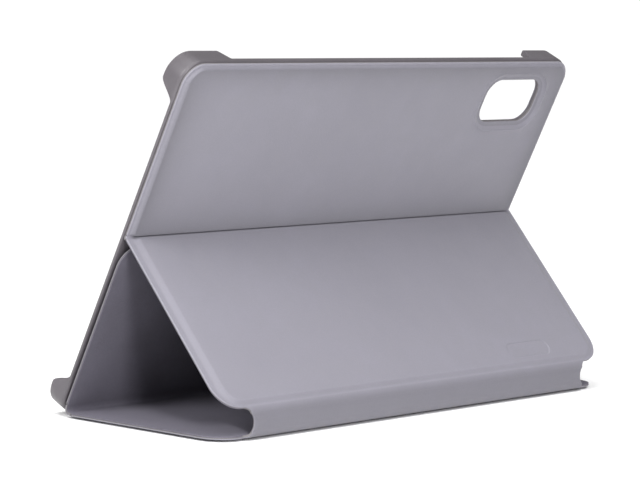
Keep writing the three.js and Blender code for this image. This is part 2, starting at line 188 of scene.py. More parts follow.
base = Place(lower_axis, math.pi)
spine = Place(lower_axis, math.pi / 2)
leg = Place(upper_axis, math.atan2(leg_run.z, leg_run.y))
tray = Place(tray_foot, math.pi - lean)
flap = Place(front_axis, -lean)
table = Place(Vector((0, 0, 0)), 0)


# ---- Outlines ----
def box_outline(x0, x1, u0, u1, radii):
    return {"x0": x0, "x1": x1, "u0": u0, "u1": u1, "radii": list(radii)}


def shrink(outline, side, start=None, finish=None):
    """The outline moved inwards by a distance of its own on the sides, the start and the finish."""
    start = side if start is None else start
    finish = side if finish is None else finish
    r = outline["radii"]
    by = [max(side, start), max(side, start), max(side, finish), max(side, finish)]
    return box_outline(
        outline["x0"] + side, outline["x1"] - side, outline["u0"] + start, outline["u1"] - finish,
        [max(r[i] - by[i], 0.12) for i in range(4)],
    )


def outline_points(o, arc_steps=ARC_STEPS, side_steps=SIDE_STEPS):
    """Points (x, u) anticlockwise from the corner (x0, u0): arcs at the corners, even steps between."""
    corners = [
        (o["x0"], o["u0"], 1, 1, math.pi),
        (o["x1"], o["u0"], -1, 1, 1.5 * math.pi),
        (o["x1"], o["u1"], -1, -1, 0),
        (o["x0"], o["u1"], 1, -1, 0.5 * math.pi),
    ]
    arcs = []
    for (x, u, sx, su, begin), radius in zip(corners, o["radii"]):
        cx, cu = x + sx * radius, u + su * radius
        angles = [begin + 0.5 * math.pi * i / arc_steps for i in range(arc_steps + 1)]
        arcs.append([(cx + radius * math.cos(a), cu + radius * math.sin(a)) for a in angles])
    points = []
    for i, arc in enumerate(arcs):
        points += arc
        (xa, ua), (xb, ub) = arc[-1], arcs[(i + 1) % 4][0]
        points += [
            (xa + (xb - xa) * k / side_steps, ua + (ub - ua) * k / side_steps)
            for k in range(1, side_steps)
        ]
    return points


def mixed(low, high, share):
    return [(a[0] + (b[0] - a[0]) * share, a[1] + (b[1] - a[1]) * share) for a, b in zip(low, high)]


def smooth(t):
    t = min(max(t, 0), 1)
    return t * t * (3 - 2 * t)


def within(point, loop):
    """Whether a point lies inside a closed loop."""
    x, u = point
    inside = False
    for (xa, ua), (xb, ub) in zip(loop, loop[1:] + loop[:1]):
        if (ua > u) != (ub > u) and x < xa + (xb - xa) * (u - ua) / (ub - ua):
            inside = not inside
    return inside


def clear_of(point, loop, step, inside):
    """Whether a grid point is on the wanted side of a loop and not crowding it."""
    x, u = point
    if within(point, loop) != inside:
        return False
    return all((x - a) ** 2 + (u - b) ** 2 > (0.35 * step) ** 2 for a, b in loop)


# ---- Meshes ----
def place_object(name, data, at=(0, 0, 0)):
    piece = bpy.data.objects.new(name, data)
    bpy.context.scene.collection.objects.link(piece)
    piece.location = at
    return piece


class Solid:
    """A mesh under construction. Its material reads two values on each vertex: rim, where the surface
    wears, and a painted-shade value, where shade is painted into the leather as a darker tone."""

    def __init__(self, place):
        self.place = place
        self.bm = bmesh.new()
        self.rim = self.bm.verts.layers.float.new("rim")
        # painted shade: a value on each vertex that darkens the leather's colour
        self.painted_shade = self.bm.verts.layers.float.new("painted_shade")
        self.flat = {}  # where each vertex lies on the panel's plane

    def ring(self, points, w, rim=0.0):
        heights = w if isinstance(w, list) else [w] * len(points)
        verts = [self.bm.verts.new(self.place.at(x, u, h)) for (x, u), h in zip(points, heights)]
        for v, point in zip(verts, points):
            v[self.rim] = rim
            self.flat[v] = point
        return verts

    def bridge(self, a, b, material=0):
        n = len(a)
        for i in range(n):
            j = (i + 1) % n
            self.bm.faces.new((a[i], a[j], b[j], b[i])).material_index = material

    def loft(self, rings, materials=None):
        """Rings of (points, w, rim) joined in order. Returns their vertices."""
        made = [self.ring(*r) for r in rings]
        for i in range(len(made) - 1):
            self.bridge(made[i], made[i + 1], materials[i] if materials else 0)
        return made

    def cap(self, ring, material=0):
        self.bm.faces.new(ring).material_index = material

    def fill(self, loops, material=0):
        """A flat face with holes, between an outer loop and inner ones."""
        edges = []
        for loop in loops:
            for i in range(len(loop)):
                pair = (loop[i], loop[(i + 1) % len(loop)])
                edges.append(self.bm.edges.get(pair) or self.bm.edges.new(pair))
        made = bmesh.ops.triangle_fill(self.bm, use_beauty=True, use_dissolve=False, edges=edges)
        for face in made["geom"]:
            if isinstance(face, bmesh.types.BMFace):
                face.material_index = material

    def face_grid(self, loops, w, step=FACE_STEP):
        """A face between an outer loop and inner ones, with a grid of points inside to be shaped."""
        points = [self.flat[vert] for loop in loops for vert in loop]
        rings, first = [], 0
        for loop in loops:
            rings.append(list(range(first, first + len(loop))))
            first += len(loop)
        outer = points[:len(loops[0])]
        holes = [points[ring[0]:ring[-1] + 1] for ring in rings[1:]]
        xs, us = [p[0] for p in outer], [p[1] for p in outer]
        for i in range(1, math.ceil((max(xs) - min(xs)) / step)):
            for j in range(1, math.ceil((max(us) - min(us)) / step)):
                spot = (min(xs) + i * step, min(us) + j * step)
                inside = clear_of(spot, outer, step, True)
                if inside and all(clear_of(spot, hole, step, False) for hole in holes):
                    points.append(spot)
        edges = [(ring[k - 1], ring[k]) for ring in rings for k in range(len(ring))]
        made = delaunay_2d_cdt([Vector(p) for p in points], edges, [], 0, 1e-5)
        verts = [vert for loop in loops for vert in loop]
        verts += self.ring(points[len(verts):], w)
        for corners in made[2]:
            middle = [sum(made[0][c][axis] for c in corners) / 3 for axis in (0, 1)]
            if within(middle, outer) and not any(within(middle, h) for h in holes):
                self.bm.faces.new([verts[made[3][c][0]] for c in corners])

    def crown(self, outline, flange, top, rise, reach):
        """Raise the padded face towards its middle by `rise`, most of it within `reach` of its edge. A
        negative rise also paints shade, darkest near the edge.
        """
        for vert, (x, u) in self.flat.items():
            local = (vert.co - self.place.at(x, u, 0)).dot(self.place.outward) / MM
            leather = all(face.material_index == 0 for face in vert.link_faces)
            if leather and local > flange + 0.01:
                gaps = [x - outline["x0"], outline["x1"] - x, u - outline["u0"], outline["u1"] - u]
                fade = 1.0
                for gap in gaps:
                    fade *= 1 - math.exp(-max(gap, 0) / reach)
                share = min((local - flange) / (top - flange), 1)
                # a sinking face also gets painted shade, darkest near the pad's edge
                if rise < 0:
                    vert[self.painted_shade] = max(vert[self.painted_shade], (1 - fade) * share)
                vert.co += self.place.outward * (rise * fade * share * MM)

    def finish(self, name, materials, sharp=SHARP):
        bmesh.ops.recalc_face_normals(self.bm, faces=self.bm.faces)
        for face in self.bm.faces:
            face.smooth = True
        for edge in self.bm.edges:
            edge.smooth = len(edge.link_faces) == 2 and edge.calc_face_angle(0) < sharp
        mesh = bpy.data.meshes.new(name)
        self.bm.to_mesh(mesh)
        self.bm.free()
        for material in materials:
            mesh.materials.append(material)
        return place_object(name, mesh)


# ---- Materials ----
class Nodes:
    """A material's node tree, with short calls for the nodes that every finish here needs."""

    def __init__(self, name):
        self.material = bpy.data.materials.new(name)
        self.material.use_nodes = True
        self.tree = self.material.node_tree
        self.shader = self.tree.nodes["Principled BSDF"]
        self.where = self.add("ShaderNodeTexCoord").outputs["Object"]

    def add(self, kind, inputs=None, **settings):
        made = self.tree.nodes.new(kind)
        for key, value in settings.items():
            setattr(made, key, value)
        for key, value in (inputs or {}).items():
            if isinstance(value, bpy.types.NodeSocket):
                self.tree.links.new(value, made.inputs[key])
            else:
                made.inputs[key].default_value = value
        return made

    def link(self, source, socket):
        self.tree.links.new(source, self.shader.inputs[socket])

    def noise(self, size, detail=3.0, roughness=0.55, distortion=0.0):
        """Noise whose features are about `size` millimetres across."""
        inputs = {
            "Vector": self.where, "Scale": 1 / (size * MM), "Detail": detail,
            "Roughness": roughness, "Distortion": distortion,
        }
        return self.add("ShaderNodeTexNoise", inputs).outputs["Fac"]

    def pebbles(self, size, smoothness):
        """Softly rounded cells about `size` millimetres across."""
        inputs = {"Vector": self.where, "Scale": 1 / (size * MM), "Smoothness": smoothness}
        return self.add("ShaderNodeTexVoronoi", inputs, feature="SMOOTH_F1").outputs["Distance"]

    def remap(self, value, low, high, to_low, to_high):
        inputs = {
            "Value": value, "From Min": low, "From Max": high, "To Min": to_low, "To Max": to_high,
        }
        return self.add("ShaderNodeMapRange", inputs).outputs["Result"]

    def math(self, operation, a, b):
        made = self.add("ShaderNodeMath", operation=operation)
        for socket, value in zip(made.inputs, (a, b)):
            if isinstance(value, bpy.types.NodeSocket):
                self.tree.links.new(value, socket)
            else:
                socket.default_value = value
        return made.outputs[0]

    def mix(self, factor, a, b, blend="MIX"):
        made = self.add("ShaderNodeMix", data_type="RGBA", blend_type=blend)
        for index, value in ((0, factor), (6, a), (7, b)):
            if isinstance(value, bpy.types.NodeSocket):
                self.tree.links.new(value, made.inputs[index])
            else:
                made.inputs[index].default_value = value
        return made.outputs[2]

    def shade(self, tone, factor):
        """The colour multiplied by a value."""
        grey = self.add("ShaderNodeCombineColor", {"Red": factor, "Green": factor, "Blue": factor})
        return self.mix(1.0, tone, grey.outputs["Color"], "MULTIPLY")

    def attribute(self, name):
        return self.add("ShaderNodeAttribute", attribute_name=name).outputs["Fac"]

    def bump(self, height, depth, strength=1.0, below=None):
        """Relief `depth` millimetres high, on top of another bump if one is given."""
        inputs = {"Height": height, "Distance": depth * MM, "Strength": strength}
        if below is not None:
            inputs["Normal"] = below
        return self.add("ShaderNodeBump", inputs).outputs["Normal"]

    def set(self, **values):
        for key, value in values.items():
            self.shader.inputs[key.replace("_", " ")].default_value = value


def rgb(red, green, blue):
    """A linear colour from display values of 0 to 255."""
    def linear(value):
        share = value / 255
        return share / 12.92 if share <= 0.04045 else ((share + 0.055) / 1.055) ** 2.4
    return (linear(red), linear(green), linear(blue), 1)


PAINTED_SHADE_TONE = 0.68  # how dark the painted shade makes the leather at its fullest


def leather_material():
    n = Nodes("leather")
    broad = n.noise(46, 2.0)
    cloud = n.noise(9, 3.0)
    tone = n.mix(n.remap(broad, 0.3, 0.7, 0, 1), rgb(123, 121, 130), rgb(127, 125, 135))
    tone = n.mix(n.remap(cloud, 0.35, 0.65, 0, 1), tone, rgb(125, 123, 132))
    pebble = n.pebbles(0.62, 0.5)
    pore = n.noise(0.22, 2.0)
    grain = n.math("ADD", n.math("MULTIPLY", pebble, 0.75), n.math("MULTIPLY", pore, 0.35))
    valley = n.remap(grain, 0.25, 0.75, 0.97, 1.015)
    tone = n.shade(tone, valley)
    worn = n.math("MULTIPLY", n.attribute("rim"), n.remap(n.noise(2.6, 4.0), 0.35, 0.7, 0.25, 1))
    tone = n.mix(n.math("MULTIPLY", worn, 0.16), tone, rgb(156, 152, 163))
    # painted shade: the colour is darkened where the painted-shade value is set
    tone = n.shade(tone, n.remap(n.attribute("painted_shade"), 0, 1, 1, PAINTED_SHADE_TONE))
    n.link(tone, "Base Color")
    polish = n.remap(n.noise(14, 3.0), 0.3, 0.7, 0.50, 0.60)
    n.link(n.math("SUBTRACT", polish, n.math("MULTIPLY", worn, 0.08)), "Roughness")
    soft = n.bump(n.noise(7, 2.0), 0.03)
    n.link(n.bump(grain, 0.03, below=soft), "Normal")
    n.set(Specular_IOR_Level=0.42, Sheen_Weight=0.12, Sheen_Roughness=0.45)
    return n.material


def raw_edge_material():
    n = Nodes("cut_edge")
    layers = n.noise(0.35, 4.0, 0.6)
    tone = n.mix(n.remap(layers, 0.3, 0.7, 0, 1), rgb(92, 89, 92), rgb(118, 115, 117))
    n.link(tone, "Base Color")
    n.link(n.remap(n.noise(1.5), 0.3, 0.7, 0.7, 0.85), "Roughness")
    n.link(n.bump(layers, 0.05), "Normal")
    return n.material


def microfibre_material():
    n = Nodes("microfibre")
    nap = n.noise(17, 3.0, 0.5, 0.4)
    tone = n.mix(n.remap(nap, 0.32, 0.68, 0, 1), rgb(93, 90, 100), rgb(99, 96, 107))
    fibre = n.noise(0.34, 4.0, 0.7, 0.8)
    fleck = n.remap(fibre, 0.3, 0.72, 0.72, 1.22)
    tone = n.shade(tone, fleck)
    worn = n.math("MULTIPLY", n.attribute("rim"), 0.1)
    tone = n.mix(worn, tone, rgb(125, 122, 132))
    n.link(tone, "Base Color")
    n.link(n.remap(nap, 0.3, 0.7, 0.86, 0.97), "Roughness")
    n.link(n.bump(fibre, 0.12, below=n.bump(n.noise(2.2, 3.0), 0.08)), "Normal")
    n.set(Specular_IOR_Level=0.2, Sheen_Weight=0.2, Sheen_Roughness=0.5)
    n.set(Sheen_Tint=rgb(190, 187, 200))
    return n.material


def plastic_material():
    n = Nodes("moulded_plastic")
    cloud = n.noise(30, 2.0)
    tone = n.mix(n.remap(cloud, 0.3, 0.7, 0, 1), rgb(79, 75, 79), rgb(85, 81, 86))
    spark = n.noise(0.16, 3.0, 0.6)
    worn = n.math("MULTIPLY", n.attribute("rim"), n.remap(n.noise(3.0, 4.0), 0.4, 0.7, 0.2, 1))
    tone = n.mix(n.math("MULTIPLY", worn, 0.2), tone, rgb(112, 108, 114))
    n.link(tone, "Base Color")
    n.link(n.remap(n.noise(5, 3.0), 0.3, 0.7, 0.38, 0.47), "Roughness")
    n.link(n.bump(spark, 0.012), "Normal")
    n.set(Specular_IOR_Level=0.5)
    return n.material


def board_material():
    n = Nodes("fibre_board")
    fibre = n.noise(1.2, 5.0, 0.7, 1.2)
    tone = n.mix(n.remap(fibre, 0.3, 0.7, 0, 1), rgb(110, 104, 95), rgb(141, 134, 122))
    n.link(tone, "Base Color")
    n.link(n.remap(fibre, 0.3, 0.7, 0.8, 0.92), "Roughness")
    n.link(n.bump(fibre, 0.04), "Normal")
    return n.material


def magnet_material():
    n = Nodes("nickel_plate")
    stretch = n.add("ShaderNodeMapping", {"Vector": n.where, "Scale": (0.06, 1, 1)}).outputs["Vector"]
    brush = n.add(
        "ShaderNodeTexNoise", {"Vector": stretch, "Scale": 4000.0, "Detail": 3.0},
    ).outputs["Fac"]
    n.link(n.mix(brush, rgb(176, 176, 178), rgb(200, 200, 201)), "Base Color")
    n.link(n.remap(brush, 0.3, 0.7, 0.26, 0.4), "Roughness")
    n.link(n.bump(brush, 0.004), "Normal")
    n.set(Metallic=1.0)
    return n.material


def floor_material():
    n = Nodes("studio_floor")
    cloud = n.noise(160, 2.0)
    n.link(n.mix(cloud, rgb(251, 251, 251), rgb(253, 253, 253)), "Base Color")
    n.link(n.remap(cloud, 0.3, 0.7, 0.75, 0.85), "Roughness")
    n.set(Specular_IOR_Level=0.1)
    return n.material


LEATHER = leather_material()
CUT_EDGE = raw_edge_material()
MICROFIBRE = microfibre_material()
PLASTIC = plastic_material()
BOARD = board_material()
NICKEL = magnet_material()


# ---- Laminated panels ----
def panel_outline(u0, u1, radii, side=0.0):
    return box_outline(-LENGTH / 2 + side, LENGTH / 2 - side, u0, u1, radii)


def pad_outline(level, u0, u1, start, finish, side=PAD_SIDE):
    def corner(border):
        return CREASE_CORNER + 0.6 if border is PAD_MID else PAD_CORNER[level]
    radii = [corner(start), corner(start), corner(finish), corner(finish)]
    return panel_outline(u0 + start[level], u1 - finish[level], radii, side[level])


def crest(share):
    """How near a point of a border is to the line where it wears, a little below its top."""
    return math.exp(-((share - CREST_AT) / CREST_WIDTH) ** 2)


def border_rings(foot, top, low, high):
    """Rings down a pad's border, from its flat face to the flange round it."""
    low_points = outline_points(foot)
    high_points = outline_points(top)
    rings = []
    for i in range(BORDER_STEPS + 1):
        share = 1 - i / BORDER_STEPS
        height = low + smooth(share) * (high - low)
        rings.append((mixed(low_points, high_points, share), height, CREST_WEAR * crest(share)))
    return rings


RAW_BANDS = 2  # the cut edge and the turn under it show no leather


def edge_rings(edge, w_under, w_flange, round_start, round_finish):
    """Rings round a panel's edge, from its flange to its underside: rounded where the edge is free."""
    def inset(distance):
        start = distance if round_start else 0
        finish = distance if round_finish else 0
        return outline_points(shrink(edge, distance, start, finish))
    rings = [(inset(EDGE_ROUND + FLANGE_LAND), w_flange, 0.15)]
    for i in range(ROUND_STEPS + 1):
        angle = 0.5 * math.pi * i / ROUND_STEPS
        drop = EDGE_ROUND * (1 - math.cos(angle))
        rings.append((inset(EDGE_ROUND * (1 - math.sin(angle))), w_flange - drop, 0.9))
    rings.append((inset(0.02), w_under + 0.12, 0.6))
    rings.append((inset(0.12), w_under, 0.3))
    return rings


def recess_rings(top, under, ceiling):
    """Rings from a skin's underside up into the room it leaves for the board."""
    wall = outline_points(shrink(top, BOARD_ROOM))
    return [
        (outline_points(shrink(top, BOARD_ROOM - 0.3)), under, 0.0), (wall, under + TINY, 0.0),
        (wall, ceiling, 0.0),
    ]


def pill(mark, grow, w):
    radius = mark["height"] / 2 + grow
    half = mark["width"] / 2 + grow
    outline = box_outline(
        mark["x"] - half, mark["x"] + half, mark["u"] - radius, mark["u"] + radius, [radius] * 4,
    )
    return (outline_points(outline, PILL_ARC_STEPS, PILL_SIDE_STEPS), w, 0.0)


def panel_skin(name, place, edge, foot, top, w, free, crown=PAD_CROWN, mark=None):
    """Leather over one panel: flat padded face, soft border, flange, edge, and the board's recess."""
    solid = Solid(place)
    rings = [(outline_points(shrink(top, SUPPORT)), w["top"], 0.0)]
    rings += border_rings(foot, top, w["flange"], w["top"])
    rings += edge_rings(edge, w["under"], w["flange"], *free)
    leather = len(rings) - 1 - RAW_BANDS
    rings += recess_rings(top, w["under"], w["ceiling"])
    made = solid.loft(rings, [0] * leather + [1] * (len(rings) - leather))
    if mark is None:
        solid.face_grid([made[0]], w["top"])
    else:
        pressed = solid.loft([pill(mark, grow, w["top"] - depth) for grow, depth in MARK_STEPS])
        solid.face_grid([made[0], pressed[0]], w["top"])
        solid.cap(pressed[-1])
    solid.crown(top, w["flange"], w["top"], crown, CROWN_REACH)
    solid.cap(made[-1], 1)
    return solid.finish(name, [LEATHER, CUT_EDGE])


def lining_sheet(name, place, edge, w0, w1, free, holes=()):
    """Microfibre bonded to a panel: a thin sheet with a soft cut edge, and holes where given."""
    solid = Solid(place)

    def inset(distance):
        start = distance if free[0] else 0
        finish = distance if free[1] else 0
        return outline_points(shrink(edge, distance, start, finish))
    rings = [
        (inset(LINING_INSET + LINING_BORDER), w0, 0.0),
        (inset(LINING_INSET + LINING_SOFT), w0, 0.8),
        (inset(LINING_INSET), w0 + LINING_SOFT, 1.0),
        (inset(LINING_INSET), w1, 1.0),
        (inset(LINING_INSET + LINING_BORDER), w1, 0.0),
    ]
    made = solid.loft(rings)
    inner = []
    for hole in holes:
        inner.append(solid.loft([(outline_points(hole), w0, 0.3), (outline_points(hole), w1, 0.3)]))
    if inner:
        solid.fill([made[0]] + [pair[0] for pair in inner])
        solid.fill([made[-1]] + [pair[1] for pair in inner])
    else:
        solid.cap(made[0])
        solid.cap(made[-1])
    return solid.finish(name, [MICROFIBRE])


def dress(piece, body, slot, *nodes):
    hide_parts(*nodes)
    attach(piece, body)


base_edge = panel_outline(
    -BASE_DEPTH + FRONT_MARGIN, -CREASE_MARGIN, [FOLD_CORNER, FOLD_CORNER, FREE_CORNER, FREE_CORNER],
)
leg_edge = panel_outline(
    CREASE_MARGIN, LEG_HEIGHT - CREASE_MARGIN, [FREE_CORNER, FREE_CORNER, CREASE_CORNER, CREASE_CORNER],
)
flap_edge = panel_outline(
    -FLAP_HEIGHT, -FRONT_MARGIN, [FLAP_CORNER, FLAP_CORNER, FOLD_CORNER, FOLD_CORNER],
)

base_cover = panel_skin(
    "base_cover", base, base_edge,
    pad_outline("foot", -BASE_DEPTH, 0, PAD_FRONT, PAD_SPINE),
    pad_outline("top", -BASE_DEPTH, 0, PAD_FRONT, PAD_SPINE),
    THICK, (False, False), crown=0,
)
leg_cover = panel_skin(
    "leg_cover", leg, leg_edge,
    pad_outline("foot", 0, LEG_HEIGHT, PAD_SPINE, PAD_MID),
    pad_outline("top", 0, LEG_HEIGHT, PAD_SPINE, PAD_MID),
    THICK, (False, False), mark=MARK,
)
flap_cover = panel_skin(
    "flap_cover", flap, flap_edge,
    pad_outline("foot", -FLAP_HEIGHT, 0, PAD_SPINE, PAD_FRONT),
    pad_outline("top", -FLAP_HEIGHT, 0, PAD_SPINE, PAD_FRONT),
    FLAP_W, (True, False),
)
dress(base_cover, "base", "leather_skin", "base_skin")
dress(leg_cover, "leg", "leather_skin", "leg_skin")
dress(flap_cover, "flap", "leather_skin", "flap_skin")

base_fabric = lining_sheet("base_fabric", base, base_edge, 0, LINING_TOP, (False, False))
leg_fabric = lining_sheet("leg_fabric", leg, leg_edge, 0, LINING_TOP, (False, False))
flap_fabric = lining_sheet(
    "flap_fabric", flap, flap_edge, FLAP_RISE, FLAP_RISE + FLAP_LINING, (True, False),
)
dress(base_fabric, "base", "lining", "base_lining")
dress(leg_fabric, "leg", "lining", "leg_lining")
dress(flap_fabric, "flap", "lining", "flap_lining")


# ---- Spine ----
def spine_half(u):
    """Half-length of the spine's leather at height u: waisted between its two creases."""
    share = (u - CREASE_MARGIN) / (SPINE_HEIGHT - 2 * CREASE_MARGIN)
    return SPINE_WAIST + (SPINE_END - SPINE_WAIST) * abs(2 * share - 1) ** WAIST_CURVE


def spine_points(inset_x, inset_u):
    """Outline of the spine, anticlockwise, with its ends bowed in."""
    low = CREASE_MARGIN + inset_u
    high = SPINE_HEIGHT - CREASE_MARGIN - inset_u
    half = spine_half(CREASE_MARGIN) - inset_x
    points = []
    for side, start, stop in ((1, low, high), (-1, high, low)):
        points += [
            (side * half * (2 * i / SPINE_SIDE_STEPS - 1), start) for i in range(SPINE_SIDE_STEPS)
        ]
        for i in range(SPINE_END_STEPS):
            share = i / SPINE_END_STEPS if side > 0 else 1 - i / SPINE_END_STEPS
            bow = spine_half(CREASE_MARGIN + (SPINE_HEIGHT - 2 * CREASE_MARGIN) * share) - inset_x
            points.append((side * bow, start + (stop - start) * i / SPINE_END_STEPS))
    return points


def spine_skin():
    solid = Solid(spine)
    w = SPINE_W
    rings = [(spine_points(3.2, 2.6), w["top"], 0.0)]
    for share in (0.8, 0.6, 0.4, 0.2):
        inset = SPINE_SLOPE * share
        height = w["edge"] + (w["top"] - w["edge"]) * smooth(share)
        rings.append((spine_points(EDGE_ROUND + inset, inset), height, 0.0))
    for i in range(ROUND_STEPS + 1):
        angle = 0.5 * math.pi * i / ROUND_STEPS
        drop = EDGE_ROUND * (1 - math.cos(angle))
        rings.append((spine_points(EDGE_ROUND * (1 - math.sin(angle)), 0), w["edge"] - drop, 0.8))
    faces = [0] * (len(rings) - 1)
    rings.append((spine_points(0.05, 0), w["under"], 0.4))
    recess = spine_points(1.6, 0.9)
    rings.append((spine_points(1.2, 0.6), w["under"], 0.0))
    rings.append((recess, w["under"] + TINY, 0.0))
    rings.append((recess, w["ceiling"], 0.0))
    faces += [1] * 4
    made = solid.loft(rings, faces)
    # painted shade over the whole spine
    for vert in solid.bm.verts:
        vert[solid.painted_shade] = SPINE_PAINTED_SHADE
    solid.cap(made[0])
    solid.cap(made[-1], 1)
    return solid.finish("spine_cover", [LEATHER, CUT_EDGE])


def spine_lining():
    solid = Solid(spine)
    top = SPINE_W["lining"]
    made = solid.loft([
        (spine_points(1.4, 0.6), 0, 0.0), (spine_points(0.35, 0), 0, 0.9),
        (spine_points(0.3, 0), 0.1, 0.9),
        (spine_points(0.3, 0), top, 0.6), (spine_points(1.4, 0.6), top, 0.0),
    ])
    solid.cap(made[0])
    solid.cap(made[-1])
    return solid.finish("spine_fabric", [MICROFIBRE])


dress(spine_skin(), "spine", "leather_skin", "spine_skin")
spine_fabric = spine_lining()
dress(spine_fabric, "spine", "lining", "spine_lining")


# ---- Creases ----
BEND_REACH = 0.62  # how far a bend keeps a panel's direction before it turns
CREASE_STATIONS = 72


def bend_point(p0, t0, p1, t1, share):
    """A point on the soft bend from p0, leaving along t0, to p1, arriving along t1."""
    cross = t0.cross(t1).x
    chord = p1 - p0
    reach0 = chord.cross(t1).x / cross
    reach1 = t0.cross(chord).x / cross
    a, b = p0 + t0 * (BEND_REACH * reach0), p1 - t1 * (BEND_REACH * reach1)
    s = 1 - share
    return p0 * s ** 3 + a * (3 * s * s * share) + b * (3 * s * share * share) + p1 * share ** 3


def crease(name, node, ends, halves, steps=14, painted_shade=(0, 0)):
    """Leather and lining bent together between two panels' edges. ends: (place, u, inner w, outer w).
    halves: the half-length at a share of the way across."""
    (place0, u0, in0, out0), (place1, u1, in1, out1) = ends
    solid = Solid(table)

    def sheet_point(share, depth):
        w0 = in0 + (out0 - in0) * depth
        w1 = in1 + (out1 - in1) * depth
        start, end = place0.at(0, u0, w0), place1.at(0, u1, w1)
        return bend_point(start, place0.along, end, place1.along, share)

    shares = [i / steps for i in range(steps + 1)]
    thickness = out0 - in0
    fall = EDGE_ROUND / thickness
    rounding = []
    for i in range(ROUND_STEPS, -1, -1):
        angle = 0.5 * math.pi * i / ROUND_STEPS
        rounding.append((EDGE_ROUND * (1 - math.sin(angle)), fall * (1 - math.cos(angle))))
    columns = [(-1, inset, sink) for inset, sink in rounding]
    columns += [(-1 + 2 * i / CREASE_STATIONS, 0, 0) for i in range(1, CREASE_STATIONS)]
    columns += [(1, inset, sink) for inset, sink in reversed(rounding)]
    rings = []
    for position, inset, sink in columns:
        ring = []
        for layer in (1, 0):
            for share in (shares if layer else reversed(shares)):
                half = (halves(share) - inset) * MM
                point = sheet_point(share, (1 - sink) if layer else 0)
                vert = solid.bm.verts.new((position * half, point.y, point.z))
                vert[solid.rim] = 0.8 if inset or sink else 0.12
                # painted shade, blended from the first end's value to the second's
                vert[solid.painted_shade] = painted_shade[0] + (painted_shade[1] - painted_shade[0]) * share
                ring.append(vert)
        rings.append(ring)
    count = len(rings[0])
    for a, b in zip(rings, rings[1:]):
        for i in range(count):
            j = (i + 1) % count
            face = solid.bm.faces.new((a[i], a[j], b[j], b[i]))
            face.material_index = 0 if i < steps else (1 if i in (steps, count - 1) else 2)
    for ring in (rings[0], rings[-1]):
        for i in range(steps):
            quad = (ring[i], ring[i + 1], ring[count - 2 - i], ring[count - 1 - i])
            solid.bm.faces.new(quad).material_index = 1
    piece = solid.finish(name, [LEATHER, CUT_EDGE, MICROFIBRE])
    starts = [place0.at(0, u0, w) for w in (in0, out0)]
    stops = [place1.at(0, u1, w) for w in (in1, out1)]
    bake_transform(piece)
    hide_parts(node)


def flare(share):
    """Half-length of the leather from a panel's edge, at 0, to the spine's edge, at 1."""
    return SPINE_END + (SPINE_FLARE - SPINE_END) * (1 - share) ** FLARE_CURVE


crease(
    "front_bend", "front_crease",
    [(flap, -FRONT_MARGIN, FLAP_RISE, FLAP_W["flange"]),
     (base, -BASE_DEPTH + FRONT_MARGIN, 0, THICK["flange"])],
    lambda share: LENGTH / 2 - 0.25,
    steps=20,
)
crease(
    "lower_spine_bend", "lower_spine_crease",
    [(base, -CREASE_MARGIN, 0, THICK["flange"]), (spine, CREASE_MARGIN, 0, SPINE_W["edge"])],
    flare,
    # painted shade along the lower spine bend
    painted_shade=(SPINE_PAINTED_SHADE, SPINE_PAINTED_SHADE),
)
crease(
    "upper_spine_bend", "upper_spine_crease",
    [
        (spine, SPINE_HEIGHT - CREASE_MARGIN, 0, SPINE_W["edge"]),
        (leg, CREASE_MARGIN, 0, THICK["flange"]),
    ],
    lambda share: flare(1 - share),
    # painted shade fading from the spine towards the leg
    painted_shade=(SPINE_PAINTED_SHADE, 0.15),
)
crease(
    "mid_bend", "mid_crease",
    [(leg, LEG_HEIGHT - CREASE_MARGIN, 0, THICK["flange"]),
     (tray, CREASE_HEIGHT + CREASE_MARGIN, 0.05, THICK["flange"])],
    lambda share: LENGTH / 2 - REAR_INSET * smooth(share),
)

# ---- Upper back, with the camera window ----
window = box_outline(
    WINDOW["x"] - WINDOW["width"] / 2, WINDOW["x"] + WINDOW["width"] / 2,
    WINDOW["u"] - WINDOW["height"] / 2, WINDOW["u"] + WINDOW["height"] / 2, [WINDOW["corner"]] * 4,
)


def window_points(spread):
    grown = shrink(window, -spread)
    grown["radii"] = [WINDOW["corner"] + spread] * 4
    return outline_points(grown, WINDOW_ARC_STEPS, WINDOW_SIDE_STEPS)


def window_rings(top_w):
    """Rings from the padded face down the bevel into the window, and back up round the board's hole.
    Also the number of bands that show leather."""
    flange = THICK["flange"]
    rings = [(window_points(WINDOW_BEVEL + SUPPORT), top_w, 0.0)]
    for i in range(WINDOW_STEPS + 1):
        share = 1 - i / WINDOW_STEPS
        spread = WINDOW_LAND + (WINDOW_BEVEL - WINDOW_LAND) * share
        height = flange + smooth(share) * (top_w - flange) + WINDOW_RIDGE * crest(share)
        rings.append((window_points(spread), height, CREST_WEAR * crest(share)))
    for i in range(ROUND_STEPS):
        angle = 0.5 * math.pi * i / (ROUND_STEPS - 1)
        inset = WINDOW_ROUND * (1 - math.sin(angle))
        rings.append((window_points(inset), flange - WINDOW_ROUND * (1 - math.cos(angle)), 0.9))
    leather = len(rings) - 1
    board_hole = WINDOW_BEVEL + BOARD_ROOM
    rings += [
        (window_points(0), GLUE, 0.4), (window_points(board_hole - 0.3), GLUE, 0.0),
        (window_points(board_hole), GLUE + TINY, 0.0),
        (window_points(board_hole), top_w - SKIN_WALL, 0.0),
    ]
    return rings, leather


